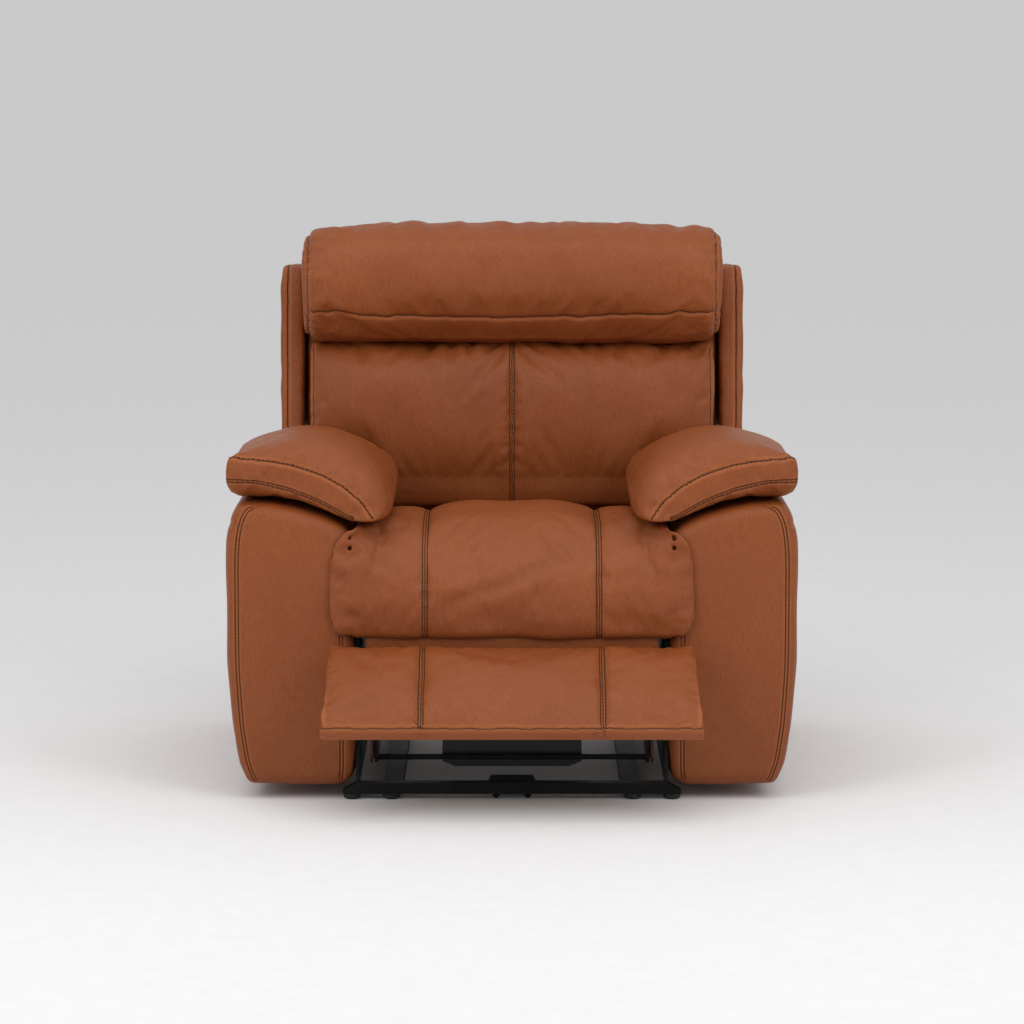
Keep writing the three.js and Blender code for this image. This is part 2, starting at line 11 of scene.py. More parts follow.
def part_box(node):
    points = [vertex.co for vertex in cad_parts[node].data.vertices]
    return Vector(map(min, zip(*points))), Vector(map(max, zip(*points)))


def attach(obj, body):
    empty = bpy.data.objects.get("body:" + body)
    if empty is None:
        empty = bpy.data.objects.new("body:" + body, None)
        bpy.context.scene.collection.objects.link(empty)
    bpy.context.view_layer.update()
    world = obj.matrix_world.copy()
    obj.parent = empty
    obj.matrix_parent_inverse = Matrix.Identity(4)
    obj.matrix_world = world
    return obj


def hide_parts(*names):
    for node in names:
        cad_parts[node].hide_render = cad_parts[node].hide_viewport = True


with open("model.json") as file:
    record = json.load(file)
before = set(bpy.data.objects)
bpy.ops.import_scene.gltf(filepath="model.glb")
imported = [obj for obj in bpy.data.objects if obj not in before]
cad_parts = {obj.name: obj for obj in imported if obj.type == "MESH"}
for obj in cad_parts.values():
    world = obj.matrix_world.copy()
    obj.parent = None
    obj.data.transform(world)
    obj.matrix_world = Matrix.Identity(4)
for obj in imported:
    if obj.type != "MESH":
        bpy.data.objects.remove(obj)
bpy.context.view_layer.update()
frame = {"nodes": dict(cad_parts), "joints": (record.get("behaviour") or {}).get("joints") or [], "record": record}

MM = 0.001
SIDES = (("left", -1), ("right", 1))

# ---- Places taken from the frame ------------------------------------------------------------

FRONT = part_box("arm_body_left")[0].y        # the arms' front face
LEAN = math.radians(5)                      # the back leans by this much
TILT = math.radians(30)                     # the footrest board points down by this much


def joint_place(name):
    joint = next(j for j in frame["joints"] if j["name"] == name)
    return Vector(joint["pos_m"])


BACK_PIVOT = joint_place("back_recline")
FOOT_HINGE = joint_place("footrest_tilt")
BACK_FRAME = Matrix.Translation(BACK_PIVOT) @ Matrix.Rotation(-LEAN, 4, "X")
FOOT_FRAME = Matrix.Translation(FOOT_HINGE) @ Matrix.Rotation(TILT, 4, "X")


def chair_point(x, depth, height):
    """A point in millimetres: sideways, behind the arms' front face, above the floor."""
    return Vector((x * MM, FRONT + depth * MM, height * MM))


def back_point(x, depth, height):
    """The same on the back, measured as if the back stood plumb."""
    return BACK_FRAME @ (chair_point(x, depth, height) - BACK_PIVOT)


def foot_point(x, along, out):
    """A point on the footrest: sideways, along the board from its hinge, out of its padded face."""
    return FOOT_FRAME @ Vector((x * MM, -along * MM, out * MM))


# ---- Mesh tools -----------------------------------------------------------------------------


def new_object(name, mesh):
    piece = bpy.data.objects.new(name, mesh)
    bpy.context.scene.collection.objects.link(piece)
    return piece


def mesh_from(name, points, faces):
    mesh = bpy.data.meshes.new(name)
    mesh.from_pydata([tuple(p) for p in points], [], faces)
    mesh.validate()
    mesh.update()
    return mesh


def coords(piece):
    flat = np.empty(len(piece.data.vertices) * 3, np.float32)
    piece.data.vertices.foreach_get("co", flat)
    return flat.reshape(-1, 3).astype(float)


def set_coords(piece, points):
    piece.data.vertices.foreach_set("co", np.asarray(points, np.float32).ravel())
    piece.data.update()


def normals(piece):
    flat = np.empty(len(piece.data.vertices) * 3, np.float32)
    piece.data.vertices.foreach_get("normal", flat)
    return flat.reshape(-1, 3).astype(float)


def bake_modifiers(piece):
    """Replaces the piece's mesh with what its modifiers make of it."""
    graph = bpy.context.evaluated_depsgraph_get()
    made = bpy.data.meshes.new_from_object(piece.evaluated_get(graph))
    piece.modifiers.clear()
    piece.data = made


def prism(name, outline, across, place):
    """A solid whose outline of (a, b) points runs from -across to +across; place maps (x, a, b)."""
    count = len(outline)
    points = [place(x, a, b) for x in (-across, across) for a, b in outline]
    faces = [tuple(reversed(range(count))), tuple(range(count, 2 * count))]
    faces += [(i, (i + 1) % count, count + (i + 1) % count, count + i) for i in range(count)]
    return new_object(name, mesh_from(name, points, faces))


def block(name, low, high, place):
    """A box between two corners, each (x, depth, height) in millimetres."""
    (x0, a0, b0), (x1, a1, b1) = low, high
    points = [place(x, a, b) for x in (x0, x1) for a in (a0, a1) for b in (b0, b1)]
    faces = [(0, 1, 3, 2), (4, 6, 7, 5), (0, 4, 5, 1), (2, 3, 7, 6), (0, 2, 6, 4), (1, 5, 7, 3)]
    return new_object(name, mesh_from(name, points, faces))


def copy_node(name, node):
    return new_object(name, frame["nodes"][node].data.copy())


def smooth_path(points, steps, closed=True):
    """A Catmull-Rom curve through points, with this many steps between neighbours."""
    line = np.array(points, float)
    count = len(line)
    spans = count if closed else count - 1
    pick = (lambda i: line[i % count]) if closed else (lambda i: line[min(max(i, 0), count - 1)])
    made = []
    for i in range(spans):
        a, b, c, d = pick(i - 1), pick(i), pick(i + 1), pick(i + 2)
        for t in np.arange(steps) / steps:
            made.append(0.5 * (2 * b + (c - a) * t + (2 * a - 5 * b + 4 * c - d) * t ** 2
                               + (3 * b - a - 3 * c + d) * t ** 3))
    if not closed:
        made.append(line[-1])
    return np.array(made)


def loft(name, rings):
    """A closed skin through rings of points that all have the same count."""
    count, last = len(rings[0]), len(rings) - 1
    points = [point for ring in rings for point in ring]
    faces = [tuple(reversed(range(count))), tuple(range(last * count, (last + 1) * count))]
    for row in range(last):
        low, high = row * count, (row + 1) * count
        faces += [(low + i, low + (i + 1) % count, high + (i + 1) % count, high + i)
                  for i in range(count)]
    return new_object(name, mesh_from(name, points, faces))


def ease(value, low, high):
    """0 below low, 1 above high and smooth between."""
    t = np.clip((value - low) / (high - low), 0, 1)
    return t * t * (3 - 2 * t)


def merge(piece, *others):
    """Joins the meshes of other objects into piece."""
    shape = bmesh.new()
    shape.from_mesh(piece.data)
    for other in others:
        shape.from_mesh(other.data)
        bpy.data.objects.remove(other)
    bmesh.ops.recalc_face_normals(shape, faces=shape.faces[:])
    shape.to_mesh(piece.data)
    shape.free()


def remesh(piece, voxel, smoothing):
    """An even quad mesh of the same shape, with its edges softened."""
    piece.data.materials.clear()
    grid = piece.modifiers.new("Remesh", "REMESH")
    grid.mode = "VOXEL"
    grid.voxel_size = voxel
    soft = piece.modifiers.new("Smooth", "SMOOTH")
    soft.factor = 0.5
    soft.iterations = smoothing
    bake_modifiers(piece)


def subdivide(piece):
    finer = piece.modifiers.new("Subdivision", "SUBSURF")
    finer.levels = 1
    finer.render_levels = 1
    bake_modifiers(piece)


def shade_smooth(piece):
    piece.data.polygons.foreach_set("use_smooth", [True] * len(piece.data.polygons))
    piece.data.update()


def inflate(piece, pinned, pressure=4.0, cap=0.02, frames=20):
    """Swells the piece as sewn leather over foam: cloth under pressure, held where pinned is true."""
    start = coords(piece)
    group = piece.vertex_groups.new(name="held")
    group.add(np.nonzero(pinned(start))[0].tolist(), 1.0, "ADD")
    cloth = piece.modifiers.new("Cloth", "CLOTH")
    cloth.settings.vertex_group_mass = "held"
    cloth.settings.use_pressure = True
    cloth.settings.uniform_pressure_force = pressure
    cloth.settings.tension_stiffness = 12
    cloth.settings.compression_stiffness = 12
    cloth.settings.bending_stiffness = 1.5
    cloth.settings.shrink_min = -0.02
    cloth.settings.effector_weights.gravity = 0
    cloth.collision_settings.use_collision = False
    cloth.point_cache.frame_start = 1
    cloth.point_cache.frame_end = frames
    scene = bpy.context.scene
    for number in range(1, frames + 1):
        scene.frame_set(number)
    bake_modifiers(piece)
    piece.vertex_groups.clear()
    scene.frame_set(1)
    moved = coords(piece) - start
    length = np.linalg.norm(moved, axis=1, keepdims=True)
    limit = cap * np.tanh(length / cap) / np.maximum(length, 1e-9)
    set_coords(piece, start + moved * limit)


# ---- Waves, creases and seams on a surface --------------------------------------------------

LINE_STEP = 0.003        # spacing of the points along a line on a surface


def waves(points, wavelength, seed, stretch=(1, 1, 1), count=14):
    """A smooth random field of about -1 to 1 with features of one wavelength."""
    random = np.random.default_rng(seed)
    heading = random.normal(size=(count, 3))
    heading /= np.linalg.norm(heading, axis=1, keepdims=True)
    number = 2 * math.pi / wavelength * random.uniform(0.7, 1.4, count)
    phase = random.uniform(0, 2 * math.pi, count)
    angle = (points / np.array(stretch)) @ (heading * number[:, None]).T + phase
    return np.sin(angle).sum(axis=1) / math.sqrt(count)


def displace(piece, amount):
    set_coords(piece, coords(piece) + normals(piece) * np.asarray(amount)[:, None])


def nearest(points, line, reach):
    """For each point, its distance to a polyline's samples and the index of the nearest one."""
    distance = np.full(len(points), reach * 2)
    index = np.zeros(len(points), int)
    low, high = line.min(axis=0) - reach, line.max(axis=0) + reach
    close = np.nonzero(np.all((points > low) & (points < high), axis=1))[0]
    for start in range(0, len(close), 4000):
        part = close[start:start + 4000]
        gap = np.linalg.norm(points[part, None, :] - line[None, :, :], axis=2)
        index[part] = gap.argmin(axis=1)
        distance[part] = gap.min(axis=1)
    return distance, index


def ordered_loop(edges):
    """The longest chain of cut edges, as a list of vertices."""
    beside = {}
    for edge in edges:
        for vert in edge.verts:
            beside.setdefault(vert, []).append(edge)
    left, best = set(edges), []
    while left:
        edge = left.pop()
        chain = list(edge.verts)
        for end in (-1, 0):
            while True:
                step = next((e for e in beside[chain[end]] if e in left), None)
                if step is None:
                    break
                left.discard(step)
                further = step.other_vert(chain[end])
                chain = chain + [further] if end else [further] + chain
        if len(chain) > len(best):
            best = chain
    return best


def resample(points, spacing, closed):
    line = np.array(points, float)
    for _ in range(4):
        inner = (np.roll(line, 1, 0) + np.roll(line, -1, 0) + 2 * line) / 4
        line = inner if closed else np.vstack([line[:1], inner[1:-1], line[-1:]])
    if closed:
        line = np.vstack([line, line[:1]])
    walked = np.concatenate([[0], np.cumsum(np.linalg.norm(np.diff(line, axis=0), axis=1))])
    steps = np.linspace(0, walked[-1], max(3, int(walked[-1] / spacing)))
    return np.stack([np.interp(steps, walked, line[:, k]) for k in range(3)], axis=1)


def cut_line(piece, point, direction, keep=None):
    """Where a plane crosses the piece's surface, as evenly spaced points; keep picks a stretch."""
    shape = bmesh.new()
    shape.from_mesh(piece.data)
    everything = shape.verts[:] + shape.edges[:] + shape.faces[:]
    found = bmesh.ops.bisect_plane(shape, geom=everything, plane_co=point, plane_no=direction)
    edges = [item for item in found["geom_cut"] if isinstance(item, bmesh.types.BMEdge)]
    loop = [tuple(vert.co) for vert in ordered_loop(edges)]
    shape.free()
    if len(loop) > 2 and loop[0] == loop[-1]:
        loop = loop[:-1]
    if keep is None:
        return resample(loop, LINE_STEP, True)
    wanted = [keep(Vector(p)) for p in loop]
    if all(wanted):
        return resample(loop, LINE_STEP, True)
    first = next(i for i, good in enumerate(wanted) if good and not wanted[i - 1])
    turned = loop[first:] + loop[:first]
    flags = wanted[first:] + wanted[:first]
    runs, run = [], []
    for spot, good in zip(turned, flags):
        if good:
            run.append(spot)
        elif run:
            runs.append(run)
            run = []
    runs.append(run)
    return resample(max(runs, key=len), LINE_STEP, False)


def drop_on(piece, points, toward):
    """Points laid on the piece's surface by a ray along toward, evenly spaced."""
    tree = BVHTree.FromObject(piece, bpy.context.evaluated_depsgraph_get())
    way = Vector(toward).normalized()
    hits = []
    for point in points:
        place = tree.ray_cast(Vector(point) - way * 0.6, way)[0]
        if place is not None:
            hits.append(tuple(place))
    return resample(hits, LINE_STEP, False)


SHADE = "shade"
ACROSS, GAP_NAME, MIDDLE = "seam_across", "seam_gap", "seam_middle"
SEAM_REACH = 0.02        # how far from a seam its distances are kept


def values_of(piece, name, rest=0.0):
    attribute = piece.data.attributes.get(name)
    if attribute is None:
        attribute = piece.data.attributes.new(name, "FLOAT", "POINT")
        attribute.data.foreach_set("value", np.full(len(piece.data.vertices), rest, np.float32))
    values = np.empty(len(piece.data.vertices), np.float32)
    attribute.data.foreach_get("value", values)
    return values


def store(piece, name, values):
    piece.data.attributes[name].data.foreach_set("value", values.astype(np.float32))


def add_shade(piece, amount):
    """Paints shade into the leather (negative) or lightens it (positive) where amount says."""
    store(piece, SHADE, values_of(piece, SHADE) + amount)


def mark_seam(piece, line, gap, middle=True):
    """Notes each point's place across a seam; its lines lie at the middle and gap to either side."""
    points, out = coords(piece), normals(piece)
    distance, index = nearest(points, line, SEAM_REACH)
    heading = np.gradient(line, axis=0)
    heading /= np.linalg.norm(heading, axis=1, keepdims=True)
    away = points - line[index]
    ahead = heading[index]
    sideways = np.einsum("ij,ij->i", away, np.cross(ahead, out))
    beyond = np.einsum("ij,ij->i", away, ahead)
    ends = (index == 0) & (beyond < 0) | (index == len(line) - 1) & (beyond > 0)
    if np.linalg.norm(line[0] - line[-1]) < 0.006:
        ends[:] = False
    sideways = np.where(ends, np.copysign(np.hypot(sideways, beyond), sideways), sideways)
    across, gaps, middles = (values_of(piece, name, rest) for name, rest in
                             ((ACROSS, 1.0), (GAP_NAME, 0.0), (MIDDLE, 1.0)))
    near = (distance < SEAM_REACH) & (np.abs(sideways) < np.abs(across))
    store(piece, ACROSS, np.where(near, sideways, across))
    store(piece, GAP_NAME, np.where(near, gap, gaps))
    store(piece, MIDDLE, np.where(near, float(middle), middles))


def groove(piece, lines, depth=0.003, width=0.007, gap=0.0, middle=True, groove_shade=0.3):
    """Draws the surface in along seams, paints shade into the grooves and marks their lines."""
    pull = np.zeros(len(piece.data.vertices))
    points = coords(piece)
    for line in lines:
        distance, _ = nearest(points, line, width * 4)
        pull = np.maximum(pull, np.exp(-(distance / width) ** 2))
    displace(piece, -depth * pull)
    # Painted shade in the groove, where less light falls.
    add_shade(piece, -groove_shade * pull)
    for line in lines:
        mark_seam(piece, np.array(on_surface(piece, line)), gap, middle)


def on_surface(piece, line):
    """The nearest places on the piece to points of a line."""
    tree = BVHTree.FromObject(piece, bpy.context.evaluated_depsgraph_get())
    return [tuple(tree.find_nearest(Vector(point))[0]) for point in line]


def laid(piece, points, closed=False):
    """A smooth line through points, laid on the piece's surface."""
    curve = resample(smooth_path(points, 8, closed), LINE_STEP, closed)
    return resample(on_surface(piece, curve), LINE_STEP, False)


def pucker(piece, line, spacing, height, reach, seed, side=None):
    """Small gathers that run out from a seam, fading with distance."""
    points = coords(piece)
    distance, index = nearest(points, line, reach * 2.5)
    along = np.concatenate([[0], np.cumsum(np.linalg.norm(np.diff(line, axis=0), axis=1))])[index]
    random = np.random.default_rng(seed)
    warp = spacing * 0.35 * np.sin(along / spacing * 1.3 + random.uniform(0, 6))
    fold = np.sin((along + warp) * 2 * math.pi / spacing)
    strength = 0.6 + 0.4 * np.sin(along / spacing * 0.9 + random.uniform(0, 6))
    fade = np.exp(-(distance / reach) ** 2) * (distance < reach * 2.5)
    if side is not None:
        fade = fade * side(points)
    displace(piece, height * fold * strength * fade)


def crease(piece, ends, depth, width, toward=(0, 1, 0)):
    """A soft fold drawn between two points on the surface, with painted shade in its hollow."""
    start, end = (Vector(p) for p in ends)
    steps = [start.lerp(end, i / 20) for i in range(21)]
    line = drop_on(piece, steps, toward)
    points = coords(piece)
    distance, index = nearest(points, line, width * 3)
    taper = np.sin(np.pi * np.clip(index / max(1, len(line) - 1), 0, 1)) ** 0.7
    ratio = distance / width
    profile = -np.exp(-ratio ** 2) + 0.45 * np.exp(-(ratio - 1.8) ** 2)
    displace(piece, depth * profile * taper * (distance < width * 3))
    # Painted shade along the fold's hollow.
    add_shade(piece, -0.1 * np.exp(-ratio ** 2) * taper)


# ---- Thread and piping ----------------------------------------------------------------------


def frames_along(piece, line, offset, lift):
    """Points on the surface beside a line, with the directions along it and out of the surface."""
    tree = BVHTree.FromObject(piece, bpy.context.evaluated_depsgraph_get())
    ahead = np.gradient(line, axis=0)
    made = []
    for point, forward in zip(line, ahead):
        forward = Vector(forward).normalized()
        spot, out, _, _ = tree.find_nearest(Vector(point))
        if offset:
            spot, out, _, _ = tree.find_nearest(spot + out.cross(forward).normalized() * offset)
        made.append((spot + out * lift, forward, out))
    return made


STITCH_RING = 5


def stitch_mesh(length, radius):
    rings = [(-0.32, 0.9), (0.0, 1.0), (0.32, 0.9)]
    points = [(-length / 2, 0, 0)]
    for along, size in rings:
        for k in range(STITCH_RING):
            angle = 2 * math.pi * k / STITCH_RING
            reach = radius * size
            points.append((along * length, reach * math.cos(angle), reach * math.sin(angle)))
    points.append((length / 2, 0, 0))
    last = len(points) - 1
    faces = [(0, 1 + (k + 1) % STITCH_RING, 1 + k) for k in range(STITCH_RING)]
    for ring in range(len(rings) - 1):
        low = 1 + ring * STITCH_RING
        for k in range(STITCH_RING):
            after = (k + 1) % STITCH_RING
            faces.append((low + k, low + after, low + STITCH_RING + after, low + STITCH_RING + k))
    low = 1 + (len(rings) - 1) * STITCH_RING
    faces += [(low + k, low + (k + 1) % STITCH_RING, last) for k in range(STITCH_RING)]
    return np.array(points), faces


class Thread:
    """Collects stitches along several seams into one piece."""

    def __init__(self, length=0.0052, radius=0.00065, pitch=0.0072):
        self.length, self.radius, self.pitch = length, radius, pitch
        self.points, self.faces = [], []

    def sew(self, piece, line, offset=0.0):
        template, faces = stitch_mesh(self.length, self.radius)
        spots = resample(line, self.pitch, False)
        for spot, forward, out in frames_along(piece, spots, offset, self.radius * 0.4):
            side = out.cross(forward).normalized()
            turn = np.array([list(forward), list(side), list(out)])
            base = sum(len(stitch) for stitch in self.points)
            self.points.append(template @ turn + np.array(spot))
            self.faces += [tuple(base + i for i in face) for face in faces]

    def finish(self, name, material, body):
        thread = new_object(name, mesh_from(name, np.vstack(self.points), self.faces))
        dress(thread, material, body)


# ---- Materials ------------------------------------------------------------------------------


class Nodes:
    """Builds one node material with short calls."""

    def __init__(self, name):
        self.material = bpy.data.materials.new(name)
        self.material.use_nodes = True
        self.tree = self.material.node_tree
        self.shader = self.tree.nodes["Principled BSDF"]
        self.place = self.tree.nodes.new("ShaderNodeTexCoord").outputs["Object"]

    def add(self, kind, **inputs):
        node = self.tree.nodes.new(kind)
        for key, value in inputs.items():
            self.link(value, node.inputs[key.replace("_", " ")])
        return node

    def link(self, value, socket):
        if isinstance(value, bpy.types.NodeSocket):
            self.tree.links.new(value, socket)
        else:
            socket.default_value = value

    def scaled(self, scale):
        return self.add("ShaderNodeMapping", Vector=self.place, Scale=scale).outputs["Vector"]

    def noise(self, scale, detail=3.0, stretch=(1, 1, 1)):
        node = self.add("ShaderNodeTexNoise", Vector=self.scaled(stretch), Scale=scale,
                        Detail=detail)
        return node.outputs["Fac"]

    def cells(self, scale):
        node = self.add("ShaderNodeTexVoronoi", Vector=self.place, Scale=scale)
        node.feature = "DISTANCE_TO_EDGE"
        return node.outputs["Distance"]

    def attribute(self, name):
        node = self.tree.nodes.new("ShaderNodeAttribute")
        node.attribute_name = name
        return node.outputs["Fac"]

    def span(self, value, low, high, to_low, to_high):
        node = self.tree.nodes.new("ShaderNodeMapRange")
        self.link(value, node.inputs["Value"])
        limits = {"From Min": low, "From Max": high, "To Min": to_low, "To Max": to_high}
        for key, number in limits.items():
            node.inputs[key].default_value = number
        return node.outputs["Result"]

    def mix(self, factor, first, second):
        node = self.tree.nodes.new("ShaderNodeMix")
        node.data_type = "RGBA"
        self.link(factor, node.inputs[0])
        self.link(first, node.inputs[6])
        self.link(second, node.inputs[7])
        return node.outputs[2]

    def math(self, operation, first, second=0.0):
        node = self.tree.nodes.new("ShaderNodeMath")
        node.operation = operation
        self.link(first, node.inputs[0])
        self.link(second, node.inputs[1])
        return node.outputs[0]

    def bump(self, height, distance, strength=1.0, normal=None):
        node = self.add("ShaderNodeBump", Height=height, Distance=distance, Strength=strength)
        if normal is not None:
            self.link(normal, node.inputs["Normal"])
        return node.outputs["Normal"]

    def finish(self, **inputs):
        for key, value in inputs.items():
            self.link(value, self.shader.inputs[key.replace("_", " ")])
        return self.material


def colour(red, green, blue):
    return (red, green, blue, 1.0)


def leather_material(name, base, dark, light, roughness):
    """Grained leather: mottled tone, pores, fine creases, sewn lines, painted shade and paler leather from the
    shade attribute, and a painted highlight beside the seam lines.
    """
    n = Nodes(name)
    broad = n.noise(5.0, 3.0)
    mottle = n.noise(42.0, 4.0)
    streak = n.noise(360.0, 3.0, stretch=(1.0, 1.0, 0.22))
    tone = n.mix(n.span(broad, 0.3, 0.7, 0.0, 0.4), colour(*base), colour(*dark))
    tone = n.mix(n.span(mottle, 0.4, 0.8, 0.0, 0.2), tone, colour(*light))
    tone = n.mix(n.span(streak, 0.42, 0.64, 0.0, 0.5), tone, colour(*dark))
    shade = n.attribute(SHADE)
    # Painted shade: the shade attribute darkens the leather where it is negative (grooves, creases, low parts) and
    # lightens it where it is positive.
    tone = n.mix(n.span(shade, 0.0, 1.0, 0.0, 0.6), tone, colour(*light))
    tone = n.mix(n.span(shade, 0.0, -1.0, 0.0, 0.8), tone, colour(*(0.3 * c for c in dark)))
    across = n.math("ABSOLUTE", n.attribute(ACROSS))
    beside = n.math("ABSOLUTE", n.math("SUBTRACT", across, n.attribute(GAP_NAME)))
    centre = n.math("ADD", across, n.math("SUBTRACT", 1.0, n.attribute(MIDDLE)))
    line = n.math("MINIMUM", beside, centre)
    sewn = n.span(line, 0.0006, 0.0013, 1.0, 0.0)
    # Painted highlight: a paler band on the rolled welts just beside the seam lines.
    seam_highlight = n.math("MULTIPLY", n.span(line, 0.0008, 0.0018, 0.0, 1.0),
                    n.span(across, 0.005, 0.009, 1.0, 0.0))
    tone = n.mix(n.math("MULTIPLY", seam_highlight, 0.5), tone, colour(*(min(1.0, 1.12 * c) for c in light)))
    tone = n.mix(n.math("MULTIPLY", sewn, 0.85), tone, colour(0.045, 0.014, 0.006))
    pores = n.span(n.cells(560.0), 0.0, 0.22, 0.0, 1.0)
    pebbles = n.span(n.cells(250.0), 0.0, 0.2, 0.0, 1.0)
    folds = n.noise(60.0, 4.0, stretch=(1.0, 1.0, 0.5))
    normal = n.bump(pores, 0.00016, 0.6)
    normal = n.bump(pebbles, 0.00028, 0.5, normal)
    normal = n.bump(streak, 0.0006, 0.5, normal)
    normal = n.bump(folds, 0.0022, 0.45, normal)
    normal = n.bump(n.span(line, 0.0, 0.002, 0.0, 1.0), 0.0011, 0.8, normal)
    gloss = n.math("ADD", mottle, n.math("MULTIPLY", pores, 0.3))
    rough = n.span(gloss, 0.3, 1.1, roughness + 0.08, roughness - 0.06)
    n.shader.inputs["Specular IOR Level"].default_value = 0.28
    return n.finish(Base_Color=tone, Roughness=rough, Normal=normal)


def plain_material(name, base, roughness, metallic=0.0, grain=400.0, depth=0.0001, vary=0.25,
                   specular=0.5):
    """Paint, plastic or plated metal with a fine texture and uneven gloss."""
    n = Nodes(name)
    patch = n.noise(24.0, 4.0)
    fine = n.noise(grain, 3.0)
    pale = colour(*(min(1.0, c * (1 + vary) + 0.004) for c in base))
    tone = n.mix(n.span(patch, 0.35, 0.7, 0.0, 1.0), colour(*base), pale)
    rough = n.span(n.math("ADD", patch, fine), 0.6, 1.4, roughness - 0.07, roughness + 0.09)
    n.shader.inputs["Metallic"].default_value = metallic
    n.shader.inputs["Specular IOR Level"].default_value = specular
    return n.finish(Base_Color=tone, Roughness=rough, Normal=n.bump(fine, depth, 0.6))


def wood_material():
    n = Nodes("raw_timber")
    rings = n.noise(9.0, 5.0, stretch=(0.6, 9.0, 9.0))
    fibre = n.noise(60.0, 4.0, stretch=(0.3, 14.0, 14.0))
    tone = n.mix(n.span(rings, 0.3, 0.7, 0.0, 1.0), colour(0.42, 0.25, 0.11), colour(0.56, 0.38, 0.19))
    tone = n.mix(n.span(fibre, 0.45, 0.75, 0.0, 0.5), tone, colour(0.27, 0.14, 0.055))
    return n.finish(Base_Color=tone, Roughness=n.span(fibre, 0.3, 0.7, 0.6, 0.8),
                    Normal=n.bump(fibre, 0.0004, 0.5))


LEATHER = leather_material("cognac_leather", (0.275, 0.071, 0.0165), (0.2, 0.047, 0.0105),
                           (0.33, 0.094, 0.023), 0.45)
THREAD = plain_material("thread", (0.07, 0.02, 0.0075), 0.8, grain=1500.0, depth=0.0002, specular=0.1)
STEEL = plain_material("black_steel", (0.004, 0.004, 0.0042), 0.58, 0.0, 700.0, 0.00008, specular=0.14)
PLASTIC = plain_material("black_plastic", (0.007, 0.007, 0.0075), 0.5, 0.0, 900.0, 0.0001, specular=0.35)
SWITCH = plain_material("switch_plastic", (0.02, 0.02, 0.021), 0.36, 0.0, 1200.0, 0.00005)
ZINC = plain_material("zinc_steel", (0.5, 0.5, 0.49), 0.32, 0.9, 500.0, 0.00005, 0.1)
TIMBER = wood_material()
SLOT_MATERIALS = {
    "leather_upholstery": LEATHER, "black_steel": STEEL, "black_plastic": PLASTIC,
    "switch_plastic": SWITCH, "timber": TIMBER, "zinc_steel": ZINC,
}


def dress(piece, material, body):
    piece.data.materials.clear()
    piece.data.materials.append(material)
    shade_smooth(piece)
    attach(piece, body)


def dress_cad_nodes():
    slots = {part["node"]: part["material_slot"] for part in frame["record"]["subparts"]}
    for name, node in frame["nodes"].items():
        material = SLOT_MATERIALS[slots[name]]
        node.data.materials.clear()
        node.data.materials.append(material)


def plain_leather(piece, body):
    """Dresses a piece in leather; where it has no seam, its attributes say so."""
    for name, rest in ((SHADE, 0.0), (ACROSS, 1.0), (GAP_NAME, 0.0), (MIDDLE, 1.0)):
        values_of(piece, name, rest)
    dress(piece, LEATHER, body)


def upholster(piece, body, node):
    """Leather that stands for a node of the frame; the node itself is hidden."""
    plain_leather(piece, body)
    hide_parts(node)


# ---- Seat cushion ---------------------------------------------------------------------------

VOXEL = 0.006            # edge length of the cloth's mesh
SEAT_SEAM = 155          # the two seams that divide the seat in three
SEAT_HALF = 272
SEAT_CROWN = 9           # how much fuller the seat is at its middle
SEAT_GAP = 0.0044        # from the middle of a seat or footrest seam to its outer lines
SEAT_UNDER_PAD = 0.497   # the seat stays below this height under the arm pads


def seat_ring(x):
    """The seat's outline at one place across, fuller in front towards the sides."""
    crown = SEAT_CROWN * (1 - (x / 262) ** 2)
    full = float(ease(abs(x), 150, 268))
    profile = [
        (556, 352, 0), (556, 416, 0), (546, 434, 0.3), (500, 448, 0.6), (400, 468, 0.9), (250, 484, 1),
        (150, 482, 1), (80 - 8 * full, 474, 0.95), (40 - 14 * full, 458 + 4 * full, 0.75),
        (14 - 14 * full, 434 + 4 * full, 0.45), (-1 - 8 * full, 404, 0.2), (-9 - 3 * full, 370, 0.1),
        (-12, 335, 0), (-10, 306, 0), (-2, 292, 0), (10, 292, 0), (20, 304, 0), (24, 330, 0),
        (30, 350, 0), (60, 352, 0), (520, 352, 0),
    ]
    outline = smooth_path([(depth, height + crown * share) for depth, height, share in profile], 3)
    return [chair_point(x, depth, height) for depth, height in outline]


def seat_ear(side):
    """The part of the seat's front that laps an arm, drawn back to the seat's own nose inside."""
    rows = [
        (292, 311, -6, -6), (302, 321, -10, -9), (335, 328, -13, -12), (400, 328, -14, -11),
        (432, 326, -14, -6), (455, 321, -13, 8), (472, 312, -13, 30), (484, 300, -12, 60),
        (492, 286, -10, 100),
    ]
    rings = []
    for height, half, edge, nose in rows:
        plan = [(200, nose + 30), (236, nose + 7), (264, (nose + edge) / 2), (half - 12, edge),
                (half - 2, edge + 3), (half, -3), (282, -3), (274, max(nose + 30, 40))]
        rings.append([chair_point(side * x, depth, height) for x, depth in plan])
    return loft(f"ear_{side}", rings)


